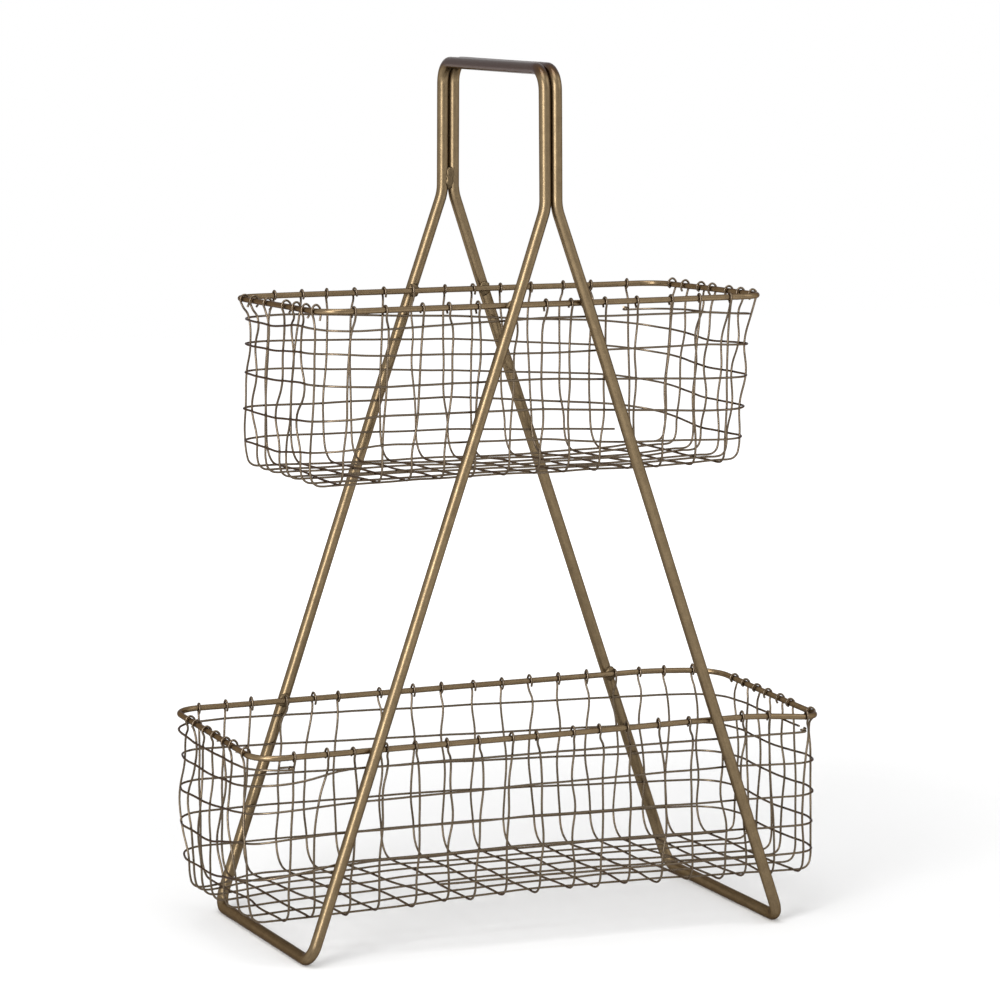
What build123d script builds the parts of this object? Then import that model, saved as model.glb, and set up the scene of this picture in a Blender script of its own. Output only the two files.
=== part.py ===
from build123d import *
import os
from math import cos, pi, radians, sin, sqrt

os.makedirs("parts", exist_ok=True)

# Tiered wire basket, in millimetres. X runs along the baskets, Y from front to back, Z up from the table.
# The origin is on the table under the middle of the basket.

# Frame hoops: two closed loops of round bar that lie side by side at the handle and part into legs
hoop_bar_radius = 3.0
hoop_bar_sides = 16
overall_height = 445.0
hoop_half_depth = 69.5
foot_half_spacing = 129.5
handle_height = 71.5
handle_bend_radius = 11.0
leg_bend_radius = 25.0
foot_bend_radius = 9.5
welded_gap = 0.1

# Rims: rounded rectangles of thinner bar, welded to the inner side of the legs
rim_bar_radius = 1.6
rim_bar_sides = 10
rim_corner_radius = 14.0
upper_rim_drop = 49.5
upper_rim_half_length = 120.5
lower_rim_height = 109.0
lower_rim_half_length = 155.5

# Basket wires: so thin that four flats stand for their round
wire_width = 1.1
wire_gap = 0.2
hook_gap = 0.3
floor_bend_radius = 11.0
floor_corner_radius = 18.0
bend_turns = 4
upper_basket_depth = 86.0
upper_draw_in = 4.5
lower_basket_depth = 84.5
lower_draw_in = 2.0

# Where each cross wire meets the front rim and the back rim, as shares of the rim's half length
upper_cross_shares = (
    (-0.85, -0.82), (-0.72, -0.69), (-0.56, -0.57), (-0.44, -0.45), (-0.31, -0.31), (-0.15, -0.17), (-0.01, -0.02),
    (0.10, 0.105), (0.26, 0.24), (0.40, 0.38), (0.56, 0.535), (0.69, 0.67), (0.83, 0.84),
)
lower_cross_shares = (
    (-0.875, -0.905), (-0.765, -0.81), (-0.67, -0.72), (-0.56, -0.595), (-0.46, -0.50), (-0.35, -0.375),
    (-0.24, -0.26), (-0.13, -0.14), (-0.04, -0.035), (0.09, 0.08), (0.185, 0.185), (0.285, 0.29), (0.395, 0.40),
    (0.505, 0.505), (0.61, 0.61), (0.70, 0.705), (0.795, 0.80), (0.92, 0.91),
)
# Where each long wire meets the left and the right end of the rim, as shares of the rim's half depth
upper_long_shares = (
    (-0.80, -0.76), (-0.68, -0.54), (-0.47, -0.33), (-0.20, -0.02), (0.18, 0.19), (0.50, 0.49), (0.73, 0.75),
)
lower_long_shares = (
    (-0.76, -0.77), (-0.47, -0.42), (-0.29, -0.22), (-0.05, 0.00), (0.17, 0.22), (0.40, 0.44), (0.60, 0.66),
)
# The wires wound round the walls, a turn to a piece: places from the middle as shares of the half length and of the
# half depth, and how far below the rim as a share of the basket's depth. At a corner the wire is bent to the wall's
# radius. Each turn is level along the front, where it meets the next, and falls round the other three sides
upper_winding_shares = (
    (
        (0.84, 1, 0.14), (1, 1, 0.14), (1, -1, 0.09), (-1, -1, 0.09), (-1, 1, 0.13), (1, 1, 0.23), (1, -1, 0.25),
        (0, -1, 0.25),
    ),
    ((0, -1, 0.25), (-1, -1, 0.25), (-1, 1, 0.27), (1, 1, 0.41), (1, -1, 0.44), (0, -1, 0.44)),
    ((0, -1, 0.44), (-1, -1, 0.44), (-1, 1, 0.46), (1, 1, 0.60), (1, -1, 0.63), (0, -1, 0.63)),
    ((0, -1, 0.63), (-1, -1, 0.63), (-1, 1, 0.67), (1, 1, 0.76), (1, -1, 0.79), (0, -1, 0.79)),
    ((0, -1, 0.79), (-1, -1, 0.79), (-1, 1, 0.84), (0.84, 1, 0.87)),
)
# Round the lower basket one wire goes from the front left by the back to the front right, and another is wound below
lower_winding_shares = (
    ((-0.88, -1, 0.09), (-1, -1, 0.09), (-1, 1, 0.09), (1, 1, 0.12), (1, -0.8, 0.15)),
    ((0.93, -1, 0.12), (-1, -1, 0.12), (-1, 1, 0.25), (1, 1, 0.30), (1, -1, 0.31), (0, -1, 0.31)),
    ((0, -1, 0.31), (-1, -1, 0.31), (-1, 1, 0.44), (1, 1, 0.50), (1, -1, 0.51), (0, -1, 0.51)),
    ((0, -1, 0.51), (-1, -1, 0.51), (-1, 1, 0.63), (1, 1, 0.68), (1, -1, 0.69), (0, -1, 0.69)),
    ((0, -1, 0.69), (-1, -1, 0.69), (-1, 1, 0.82), (1, 1, 0.86), (1, -1, 0.87), (-0.37, -1, 0.87)),
)
# The hook at a wire's end, from its tail inside the rim up and over to its throat outside and below the rim:
# outward and upward from the middle of the rim, as shares of the wire's distance from there
hook_outline_shares = ((-0.9, -1.9), (-1.0, 0.75), (0.0, 1.5), (1.0, 0.75), (1.0, -0.9), (-0.65, -2.8))
# A wire that meets a rim at a leg has no room outside it: it comes up inside and ends on top of the rim
short_hook_outline_shares = ((0.0, 1.1), (-1.0, 0.75))
# The angle where each corner's bend starts, by the signs of the corner's place
corner_starts = {(1, 1): 0, (-1, 1): 90, (-1, -1): 180, (1, -1): 270}

# Weld beads
bead_radius = 2.0
bead_sides = 8
bead_overlap_share = 0.5
handle_bead_length = 10.0
handle_bead_drop = 2.0
handle_bead_half_width_share = 0.75
handle_bead_crown_share = 0.9

# Sizes that follow from those above: the legs part below the handle, and the upper rim hangs below that
leg_top_height = overall_height - handle_height
upper_rim_height = leg_top_height - upper_rim_drop
hoop_middle = hoop_bar_radius + welded_gap / 2
handle_bar_height = overall_height - hoop_bar_radius
leg_slope = (foot_half_spacing - hoop_middle) / (leg_top_height - hoop_bar_radius)
rim_half_depth = hoop_half_depth - hoop_bar_radius - rim_bar_radius - welded_gap
hook_reach = rim_bar_radius + hook_gap + wire_width / 2
throat_inset = -hook_outline_shares[-1][0] * hook_reach
throat_drop = -hook_outline_shares[-1][1] * hook_reach


def finish(piece, name):
    piece.part.label = name
    export_step(piece.part, f"parts/{name}.step")


def leg_offset(height):
    """Distance of a leg's middle line from the middle of the basket at a height."""
    return hoop_middle + (leg_top_height - height) * leg_slope


def edge_reach(place, half_length, half_width, corner):
    """How far a rounded rectangle reaches across at a place along its length."""
    into_corner = abs(place) - (half_length - corner)
    if into_corner <= 0:
        return half_width
    return half_width - corner + sqrt(corner**2 - into_corner**2)


def bend_points(middle, radius, start, turns):
    """Corners of a quarter bend in a plane, drawn as equal turns outside its arc, anticlockwise from an angle."""
    turn = pi / 2 / turns
    reach = radius / cos(turn / 2)
    angles = [radians(start) + turn * (index + 0.5) for index in range(turns)]
    return [(middle[0] + reach * cos(angle), middle[1] + reach * sin(angle)) for angle in angles]


def bend_rise(place, wall_reach):
    """How far a wire's bend has risen over its floor at a distance from the wire's middle."""
    into_bend = abs(place) - (wall_reach - floor_bend_radius)
    if into_bend <= 0:
        return 0
    return floor_bend_radius - sqrt(floor_bend_radius**2 - into_bend**2)


# Frame hoops
hoops = {}
for side, name in ((-1, "left_hoop"), (1, "right_hoop")):
    with BuildPart() as hoop:
        with BuildLine() as route:
            FilletPolyline(
                (side * hoop_middle, -hoop_half_depth, handle_bar_height),
                (side * hoop_middle, -hoop_half_depth, leg_top_height),
                (side * foot_half_spacing, -hoop_half_depth, hoop_bar_radius),
                (side * foot_half_spacing, hoop_half_depth, hoop_bar_radius),
                (side * hoop_middle, hoop_half_depth, leg_top_height),
                (side * hoop_middle, hoop_half_depth, handle_bar_height),
                radius=[
                    handle_bend_radius, leg_bend_radius, foot_bend_radius,
                    foot_bend_radius, leg_bend_radius, handle_bend_radius,
                ],
                close=True,
            )
        with BuildSketch(Plane((side * hoop_middle, 0, handle_bar_height), x_dir=(1, 0, 0), z_dir=(0, 1, 0))):
            RegularPolygon(radius=hoop_bar_radius, side_count=hoop_bar_sides)
        sweep(path=route.wire())
    finish(hoop, name)
    hoops[name] = hoop.part

# Rims
rims = {}
for name, height, half_length in (
    ("upper_rim", upper_rim_height, upper_rim_half_length),
    ("lower_rim", lower_rim_height, lower_rim_half_length),
):
    with BuildPart() as rim:
        with BuildLine(Plane.XY.offset(height)) as route:
            FilletPolyline(
                (-half_length, -rim_half_depth),
                (half_length, -rim_half_depth),
                (half_length, rim_half_depth),
                (-half_length, rim_half_depth),
                radius=rim_corner_radius,
                close=True,
            )
        with BuildSketch(Plane((0, -rim_half_depth, height), x_dir=(0, 1, 0), z_dir=(1, 0, 0))):
            RegularPolygon(radius=rim_bar_radius, side_count=rim_bar_sides)
        sweep(path=route.wire())
    finish(rim, name)
    rims[name] = rim.part


def thin_wire(name, plane, points, section_dir):
    """One basket wire along a route of straight runs in a plane's axes, its flats square to a direction."""
    with BuildPart() as wire:
        with BuildLine(plane) as route:
            Polyline(*points)
        with BuildSketch(Plane(route.line @ 0, x_dir=section_dir, z_dir=route.line % 0)):
            Rectangle(wire_width, wire_width)
        sweep(transition=Transition.RIGHT)
    finish(wire, name)


def hook_points(rim_reach, short, side):
    """Points of one hook round the rim, from its tail to the wall; side is -1 at the low end of the wire."""
    outline = short_hook_outline_shares if short else hook_outline_shares
    return [(side * (rim_reach + out * hook_reach), up * hook_reach) for out, up in outline]


def hooked_wire(name, plane, rim_reach, wall_reach, drop, low_short=False, high_short=False):
    """One wire that hooks round the rim at both ends and hangs between them as a wall, a floor and a wall.

    The plane's x axis runs along the wire's floor, and its y axis up from the rim's height. rim_reach and
    wall_reach are half the span between the rim's middles and between the walls' feet."""
    inner = wall_reach - floor_bend_radius
    bend_height = floor_bend_radius - drop
    low_bend = bend_points((-inner, bend_height), floor_bend_radius, 180, bend_turns)
    high_bend = bend_points((inner, bend_height), floor_bend_radius, 270, bend_turns)
    high_hook = hook_points(rim_reach, high_short, 1)
    points = hook_points(rim_reach, low_short, -1) + low_bend + high_bend + high_hook[::-1]
    thin_wire(name, plane, points, plane.z_dir)


def make_basket(name, rim_height, half_length, depth, draw_in, cross_shares, long_shares, winding_shares):
    """All wires of one basket: across, lengthways and round the walls."""
    # The walls draw in a little from the throats of the hooks to the bends at the floor
    foot_half_length = half_length - draw_in
    foot_half_depth = rim_half_depth - draw_in
    wall_height = depth - floor_bend_radius - throat_drop
    leg_place = leg_offset(rim_height)
    leg_room = hoop_bar_radius + hook_reach + wire_width / 2

    cross_places = []
    for number, (front_share, back_share) in enumerate(cross_shares, 1):
        front = front_share * half_length
        back = back_share * half_length
        place = (front + back) / 2
        along = Vector(back - front, 2 * rim_half_depth, 0).normalized()
        plane = Plane((place, 0, rim_height), x_dir=along, z_dir=along.cross(Vector(0, 0, 1)))
        rim_reach = edge_reach(place, half_length, rim_half_depth, rim_corner_radius)
        wall_reach = edge_reach(place, foot_half_length, foot_half_depth, floor_corner_radius)
        at_leg = [abs(abs(end) - leg_place) < leg_room for end in (front, back)]
        hooked_wire(f"{name}_cross_wire_{number:02d}", plane, rim_reach, wall_reach, depth, *at_leg)
        cross_places.append((place, wall_reach))

    # The long wires lie on the floors of the cross wires and clear their bends
    for number, (left_share, right_share) in enumerate(long_shares, 1):
        left = left_share * rim_half_depth
        right = right_share * rim_half_depth
        place = (left + right) / 2
        along = Vector(2 * half_length, right - left, 0).normalized()
        plane = Plane((0, place, rim_height), x_dir=along, z_dir=along.cross(Vector(0, 0, 1)))
        rim_reach = edge_reach(place, rim_half_depth, half_length, rim_corner_radius)
        wall_reach = edge_reach(place, foot_half_depth, foot_half_length, floor_corner_radius)
        rises = []
        for cross_place, cross_reach in cross_places:
            here = abs(place + (right - left) * cross_place / (2 * half_length))
            cross_rise = bend_rise(here + wire_width / 2, cross_reach)
            rises.append(cross_rise - bend_rise(abs(cross_place) - wire_width / 2, wall_reach))
        drop = depth - wire_width - wire_gap - max(rises)
        hooked_wire(f"{name}_long_wire_{number}", plane, rim_reach, wall_reach, drop)

    # The wound wires lie against the outer side of the walls, and clear the wires of the walls by the gap
    wound = []
    for number, turn in enumerate(winding_shares, 1):
        points = []
        for length_share, width_share, depth_share in turn:
            wall_share = (depth * depth_share - throat_drop) / wall_height
            inset = throat_inset + (draw_in - throat_inset) * min(wall_share, 1)
            reach_x = half_length - inset + wire_width + wire_gap
            reach_y = rim_half_depth - inset + wire_width + wire_gap
            places = [(length_share * reach_x, width_share * reach_y)]
            if abs(length_share) == abs(width_share):
                corner = rim_corner_radius + (floor_corner_radius - rim_corner_radius) * depth_share
                middle = (length_share * (reach_x - corner), width_share * (reach_y - corner))
                start = corner_starts[length_share, width_share]
                places = bend_points(middle, corner, start, bend_turns)[::-1]
            points += [(x, y, -depth * depth_share) for x, y in places]
        thin_wire(f"{name}_ring_wire_{number}", Plane.XY.offset(rim_height), points, (0, 0, 1))
        wound.append(points)
    gaps = [
        (Vector(*point) - Vector(*other)).length - wire_width
        for here, following in zip(wound, wound[1:]) for point in here[:-1] for other in following[1:]
    ]
    print(f"{name} winding: least gap to itself {min(gaps):.2f} mm")


make_basket(
    "upper", upper_rim_height, upper_rim_half_length, upper_basket_depth, upper_draw_in,
    upper_cross_shares, upper_long_shares, upper_winding_shares,
)
make_basket(
    "lower", lower_rim_height, lower_rim_half_length, lower_basket_depth, lower_draw_in,
    lower_cross_shares, lower_long_shares, lower_winding_shares,
)

# Weld beads: one where each rim crosses each leg, and one between the uprights at the front and at the back
with BuildPart() as weld_beads:
    for rim_height in (upper_rim_height, lower_rim_height):
        for facing in (-1, 1):
            rim_side = facing * (rim_half_depth + bead_overlap_share * rim_bar_radius)
            with BuildSketch(Plane((0, rim_side, rim_height), x_dir=(1, 0, 0), z_dir=(0, facing, 0))):
                with Locations((leg_offset(rim_height), 0), (-leg_offset(rim_height), 0)):
                    RegularPolygon(radius=bead_radius, side_count=bead_sides)
            extrude(amount=hoop_half_depth - abs(rim_side))
    # The beads of the handle fill the groove on the inner side of the two uprights
    half_width = hoop_middle * handle_bead_half_width_share
    crown = hoop_half_depth - hoop_bar_radius * handle_bead_crown_share
    bead_foot = leg_top_height + handle_bead_drop
    with BuildSketch(Plane.XY.offset(bead_foot)):
        for facing in (-1, 1):
            with BuildLine():
                Polyline(
                    (-half_width, facing * crown),
                    (half_width, facing * crown),
                    (0, facing * hoop_half_depth),
                    close=True,
                )
            make_face()
    extrude(amount=handle_bead_length)
    for bar in (*hoops.values(), *rims.values()):
        add(bar, mode=Mode.SUBTRACT)
finish(weld_beads, "weld_beads")
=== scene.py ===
import math
import random
from dataclasses import dataclass

import bmesh
import bpy
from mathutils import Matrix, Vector, noise


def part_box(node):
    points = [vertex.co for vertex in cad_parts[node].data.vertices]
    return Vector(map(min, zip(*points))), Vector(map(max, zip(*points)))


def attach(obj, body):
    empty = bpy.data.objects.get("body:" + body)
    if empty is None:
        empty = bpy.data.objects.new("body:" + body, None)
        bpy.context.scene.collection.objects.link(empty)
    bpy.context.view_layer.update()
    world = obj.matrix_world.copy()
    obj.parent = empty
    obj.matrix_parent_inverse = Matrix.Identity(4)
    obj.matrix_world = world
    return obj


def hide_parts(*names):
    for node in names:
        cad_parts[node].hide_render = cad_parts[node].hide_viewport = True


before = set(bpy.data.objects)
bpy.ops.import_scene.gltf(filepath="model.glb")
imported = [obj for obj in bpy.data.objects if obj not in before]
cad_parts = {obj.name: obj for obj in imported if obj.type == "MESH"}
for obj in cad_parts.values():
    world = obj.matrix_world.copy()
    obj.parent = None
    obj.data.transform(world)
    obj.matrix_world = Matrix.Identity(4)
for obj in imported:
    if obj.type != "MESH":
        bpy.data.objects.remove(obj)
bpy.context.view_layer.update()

bl_info = {
    "name": "Tiered Wire Basket",
    "version": (1, 0, 0),
    "blender": (4, 5, 0),
    "location": "View3D > Sidebar > Wire Basket",
    "description": "Dresses a two tier wire basket with bars, hooked wires and antique brass",
    "category": "Object",
}

MM = 0.001

# Sizes of the frame, in millimetres, as all lengths of the baskets are
_, HOOP_HIGH = (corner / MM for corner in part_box("right_hoop"))
HANDLE_LINE = 442
RING_COUNT = 5
WIRE_WIDTH = 1.16
RIM_CORNER = 14
# Facets round a hoop's bar, a rim and a wire
FRAME_FACETS, RIM_FACETS, WIRE_FACETS = 24, 16, 8

# Where a hoop's legs part, how much less deep its handle is, how far one foot stands in, how uneven the
# handle's height is, and the radii of the bends
LEGS_PART = 373.5
HANDLE_TAPER = 2.1
FOOT_IN = 1.1
FRONT_HANDLE_RISE, BACK_HANDLE_DROP = 0.1, 0.7
HANDLE_BEND, PARTING_BEND, LEG_BEND, FOOT_BEND = 11, 25, 150, 9.5
# Where the legs cross each rim, and how near to one of them a hook is short
LEG_PLACES = {"upper": 19.94, "lower": 93.33}
LEG_ROOM = 6.2
# Between these heights the top of the handle turns dark with painted shade, and is polished with a clear coat
HANDLE_SHADE_HEIGHTS = (437, 441.5)
HANDLE_TOP_COAT = 0.45
# Place along X, height and half sizes of the lumps of each weld at the handle, half sizes of the welds at the
# front and back of the rims, and the height, scale and stride of the noise on them
HANDLE_WELDS = ((0.5, 383.5, (2.6, 1.7, 3.6)), (0, 379.5, (2.5, 1.8, 4.2)))
HANDLE_GROOVE = 67.6 - HANDLE_TAPER / 2
RIM_WELDS = {-1: (3.4, 1.5, 2.3), 1: (3.2, 1.5, 3.7)}
RIM_WELD_OUT = 1.7
WELD_LUMPS, WELD_LUMP_SCALE, WELD_STRIDE = 0.3, 2.4, 3.7

# How the rims rise over their half depth, over their half length and at a corner
UPPER_TILT_BACK, UPPER_TILT_CORNER = -1.5, -0.5
LOWER_TILT_BACK, LOWER_TILT_RIGHT, LOWER_TILT_CORNER = 1.6, 1.3, 0.5
# Past this share of its half length the lower rim droops, more so at the front
DROOP_START, DROOP_SLOPE, DROOP_SPLIT = 0.75, 15, 0.15
# The walls know nothing of the rim's tilt below this depth
TILT_FADE = 12

# Radius and steps of the bends from the walls to the floor, and how far a wire then runs straight
END_BEND, FRONT_BEND, BACK_BEND = 5.5, 8, 13
BEND_ANGLES = (5, 35, 65, 90)
FLOOR_RUN = 5
# Spacing of a floor wire's points, and how far they stray up and down
FLOOR_SPACING, FLOOR_RIPPLE = 24, 0.3
# How much the long wires are lifted over the floor, by their place along the basket
UPPER_LIFT = ((-90, -20, 60, 110), (-WIRE_WIDTH, -0.2, 0, 0.7))
LOWER_FRONT_LIFT = ((-79, -31, 15, 158), (-WIRE_WIDTH, -0.4, 0, -0.5))
LOWER_BACK_LIFT = ((-150, -125), (-WIRE_WIDTH, WIRE_WIDTH))
# Between these places across the lower basket its front lift passes to its back lift
LIFT_BLEND = (-40, 40)
# Every other cross wire of the lower basket dips under the first long wire
DIP = WIRE_WIDTH * 0.8
# How far the spirals run outside the walls, in radii of the wire, the radius of a wrapped end, the steps of
# both in one turn, and how far the tail of the lower top wire reaches
SPIRAL_CLEAR = 1.9
WRAP_RADIUS = 1.15
SPIRAL_STEPS, WRAP_STEPS = 40, 8
KNOT_TAIL = (5.5, 3.6, 1.8)

# A hook that stops short behind a leg, as steps outwards and upwards from the rim's middle and to the side
SHORT_HOOK = ((0.5, 2.3, 0), (-1.5, 1.9, 0), (-2.3, -0.4, 0), (-2, -4, 0))
# How far the other hooks lean and curl, how long their tails are, how much longer they are at the left end,
# and how high the shoulders are as a share of the tops
HOOK_LEAN, HOOK_CURL, HOOK_TAILS, LEFT_HOOK_TAIL = 0.6, 1.2, (1.7, 3.3), 1.2
HOOK_SHOULDER = 0.68
# How high the lines of the hooks rise over the rim's middle, and how that changes from front to back
CROSS_HOOK_TOPS = {"upper": (2.15, 2.6), "lower": (2.3, 3.5)}
END_HOOK_TOP, TIGHT_HOOK_TOP, LOOSE_HOOK_TOP = 2.7, 2.2, 3.2
LEFT_SLOPE, RIGHT_SLOPE, LEFT_SPREAD, TIGHT_SPREAD = -0.6, 0.5, 0.1, 0.2
LOOSE_HOOKS_TO = -0.4

# How far a bar or wire wanders, over what length and with what seed, the spacing of points on a bar, and the
# steps of its bends
HOOP_WAVER, HOOP_WAVER_LENGTH = 0.12, 70
RIM_WAVER = (0.15, 45, 5)
# The same for wires, as shares of their waver
SPIRAL_WAVER = (1.3, 30, 37)
WOVEN_WAVER_LENGTH = 26
HOOP_SEED, CROSS_SEED, LONG_SEED, SEED_STRIDE = 3, 11, 23, 7.31
HOOP_SPACING, RIM_SPACING, BEND_STEPS = 18, 15, 10

# The finish: shares of its patterns in the colour and in the bump, the part of their range that is used, the
# stretch of its streaks along the bar, and the depth of its grain in metres
PATCH_SHARE, SPECKLE_SHARE, STREAK_SHARE = 0.3, 0.4, 0.3
BUMP_SPECKLE_SHARE, BUMP_STREAK_SHARE = 0.7, 0.3
MOTTLE_RANGE = (0.34, 0.66)
STREAK_STRETCH = 0.06
GRAIN_DEPTH = 0.0002
COAT_ROUGHNESS = 0.12
# Patch size, speckle size, bump, shade of the three channels and how dull each kind of metal is
TONES = {
    "frame_bar": (5, 0.7, 0.25, (1, 1, 1), 1),
    # The rims' lighter shade is partly their own tone and partly a painted highlight from above
    "rim_bar": (5, 0.6, 0.25, (1.08, 1.06, 1.06), 0.8),
    "basket_wire": (4, 0.6, 0.2, (0.76, 0.8, 0.96), 0.75),
    "weld": (2, 0.6, 0.9, (0.7, 0.7, 0.7), 1.1),
}

# The stage, in metres: from where, and to what share of its half width, the ground's paint fades, and from
# where to where its own glow rises from what level to what level
GROUND_PAINT = (0.8, 0.8, 0.8, 1)
PAINT_FADE_START, PAINT_FADE_STOP = 0.45, 0.95
GLOW_REACH, GLOW_LEVEL = (0.25, 1.4), (0.13, 1.1)
WORLD_LEVEL, SEEN_WORLD_EXTRA = 0.5, 0.5
# Name, property of its power, size, place and target of each lamp
LAMPS = (
    ("key_light", "key_power", (0.9, 1.7), (-1.8, -1.6, 0.9), (0, 0, 0.22)),
    ("top_light", "top_power", (1.2, 1.2), (-0.4, -0.5, 2.3), (0, 0, 0.2)),
    ("fill_light", "fill_power", (1.4, 1.6), (1.9, -1.2, 1.5), (0, 0, 0.2)),
)
# The camera as fitted to the photo: its place, its turns in degrees, its lens and how many metres it sees
CAMERA_PLACE = Vector((-858.13, -2064.75, 520.73)) * MM
CAMERA_TURNS = (90 - 7.685, 0.023, -22.597)
CAMERA_LENS, CAMERA_REACH = 157.88, 60

# Each row is one wire of the upper basket: its places along the basket at the hook and at the five crossings
# with the spiral, at the front and then at the back, from the middle
UPPER_CROSS = (
    ((-103, -104, -105.5, -106, -106, -107.5), (-98, -101, -102.5, -104, -104.5, -104.5)),
    ((-86.5, -84.5, -85, -85.5, -86.5, -87), (-83, -84.5, -87, -89, -90.5, -91)),
    ((-67, -66.5, -67.5, -68, -69, -71.5), (-69, -69.5, -70, -71, -73, -73)),
    ((-53, -50.5, -50.5, -50.5, -52.5, -54), (-54, -56, -57, -57.5, -57.5, -57.5)),
    ((-37.5, -36, -35.5, -37, -37.5, -37.5), (-37.5, -38.5, -39.5, -40.5, -41.5, -41.5)),
    ((-17.5, -16, -17.5, -17.5, -18.5, -19), (-21.5, -22.5, -22, -23, -22, -21.5)),
    ((-1, -2, -2.5, -2.5, -1, -2.5), (-3, -4.5, -5, -5, -5.5, -3.5)),
    ((12.5, 13, 12.5, 13, 12.5, 13.5), (12.5, 11, 11.5, 10.5, 10, 10)),
    ((31, 32, 32, 31.5, 32, 30.5), (28.5, 27.5, 28.5, 27.5, 27.5, 29)),
    ((48.5, 49.5, 48.5, 49.5, 48.5, 49), (46, 44, 43, 43.5, 44, 44.5)),
    ((67.5, 68, 67.5, 66, 66.5, 65), (64.5, 62, 61.5, 61.5, 61, 63)),
    ((83, 84, 82.5, 82, 82, 83.5), (80.5, 81, 79.5, 78.5, 78, 78.5)),
    ((100, 100.5, 100, 100, 100.5, 100), (101.5, 101.5, 101.5, 101.5, 101.5, 101)),
)
LOWER_CROSS = (
    ((-136, -136, -136, -137, -137.5, -138.5), (-141, -141.5, -141.5, -142, -141.5, -141.5)),
    ((-118.5, -118, -122, -124.5, -125, -125), (-126.5, -127.5, -128.5, -129.5, -129.5, -130)),
    ((-104.5, -103.5, -102, -103, -104, -106), (-112.5, -113.5, -115, -116, -118, -118)),
    ((-87, -86, -88.5, -88.5, -90, -90.5), (-93.5, -96, -96.5, -98.5, -98.5, -100)),
    ((-71.5, -70, -69, -69, -69, -70.5), (-78, -79.5, -82.5, -83.5, -84.5, -83)),
    ((-54.5, -52.5, -52.5, -51, -53.5, -53), (-64, -64.5, -66.5, -67.5, -67, -66.5)),
    ((-37.5, -35.5, -34.5, -36, -36.5, -38.5), (-41, -40, -41.5, -40, -42, -41)),
    ((-19.5, -19, -20.5, -20.5, -21.5, -21.5), (-22, -23, -21.5, -23, -24, -22.5)),
    ((-6, -4, -2.5, -2.5, -1.5, -3), (-5.5, -5, -6.5, -4.5, -5, -6)),
    ((14, 15, 14, 16, 14.5, 16), (12.5, 11.5, 13, 12, 10.5, 11.5)),
    ((28.5, 31, 31, 31.5, 31.5, 30.5), (29, 28, 29.5, 31, 30, 29)),
    ((44, 46, 46, 47, 46.5, 46.5), (45, 46.5, 45, 44, 45.5, 47)),
    ((61.5, 63, 65.5, 66.5, 67, 65), (62, 61, 62.5, 60.5, 61, 62)),
    ((78.5, 81, 80.5, 81, 81.5, 82), (78.5, 79.5, 78, 77, 79, 80)),
    ((95.5, 97, 98.5, 97.5, 101, 100.5), (95, 94, 95.5, 96.5, 95, 93.5)),
    ((108.5, 111, 109, 109.5, 111, 112.5), (109.5, 110.5, 109, 111, 112, 111)),
    ((123.5, 124.5, 125.5, 126.5, 128, 128.5), (124.5, 125.5, 127, 126, 124.5, 125)),
    ((146, 147.5, 146, 145, 144.5, 145.5), (141.5, 142.5, 144, 143, 144.5, 143.5)),
)
# The same for the wires that run lengthways: places across the basket, at the left end and then at the right
UPPER_LONG = (
    ((-56, -57, -55, -53, -51, -46), (-49, -48, -44, -48.5, -46, -49)),
    ((-44, -39, -36, -39.5, -28, -31.5), (-35, -33, -37, -31.5, -37.5, -34)),
    ((-30.5, -24, -25.5, -21, -19, -11), (-21, -21.5, -17, -19, -19.5, -24)),
    ((-15.5, -13.5, -9.5, -7.5, 2, -1), (-1, 0, -1.5, 2, -5.5, -2.5)),
    ((12, 10.5, 12.5, 16, 17.5, 20), (12.5, 9.5, 15, 11, 10.5, 7)),
    ((32, 26, 31.5, 31, 38, 33), (32, 31.5, 28, 31, 26.5, 28)),
    ((47, 40.5, 39.5, 46.5, 47.5, 52), (48.5, 49, 47, 47, 46, 42.5)),
)
LOWER_LONG = (
    ((-49, -50, -48, -52, -54, -52), (-50, -46.5, -47, -46, -47.5, -48)),
    ((-30.5, -31, -26.5, -28, -34, -35.5), (-26.5, -28, -28.5, -29, -29.5, -30)),
    ((-19, -19.5, -20.5, -17, -10.5, -14.5), (-14, -15, -13, -16, -14, -12.5)),
    ((-3, -1, -0.5, 0, 0, 5), (1, -0.5, 1.5, 2, 0, -1.5)),
    ((10.5, 13, 16, 14, 19.5, 19.5), (14, 15.5, 13.5, 13, 15, 16.5)),
    ((26, 24, 29, 34, 30.5, 32), (28, 27, 29.5, 30, 28, 27)),
    ((36.5, 40.5, 45, 47.5, 45.5, 40), (42, 43.5, 42, 40.5, 42.5, 44)),
)
# Depth below the rim of each turn of a spiral at eight places: the front's right, middle and left, the left
# end, the back's left, middle and right, and the right end. The first and last turn may be shorter
UPPER_SPIRAL = (
    (15.5, 12.5),
    (6.5, 6, 8.5, 10.5, 11.5, 15.5, 21, 27),
    (22, 23, 21, 23, 25, 27.5, 34, 41),
    (39.5, 36, 36.5, 38, 39.5, 44, 49.5, 56.5),
    (56, 51.3, 51, 57, 58, 58, 65, 72.5),
    (71, 66.5, 65.5, 74, 74, 75, 79),
)
LOWER_SPIRAL = (
    (10.5, 10, 10.5, 21.5, 21.5, 24, 26.5, 29.5),
    (25.5, 26.3, 28, 36.5, 37.5, 38.5, 42, 45),
    (43.5, 42.5, 43, 55.5, 53.5, 54, 58, 61.5),
    (59, 57.5, 58, 73, 72, 71.5, 73, 75.5),
    (74, 73.5),
)
# The wire above the lower spiral goes round three sides only
LOWER_TOP_WIRE = ((8, 9, 6.8, 9, 11, 14),)
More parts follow.
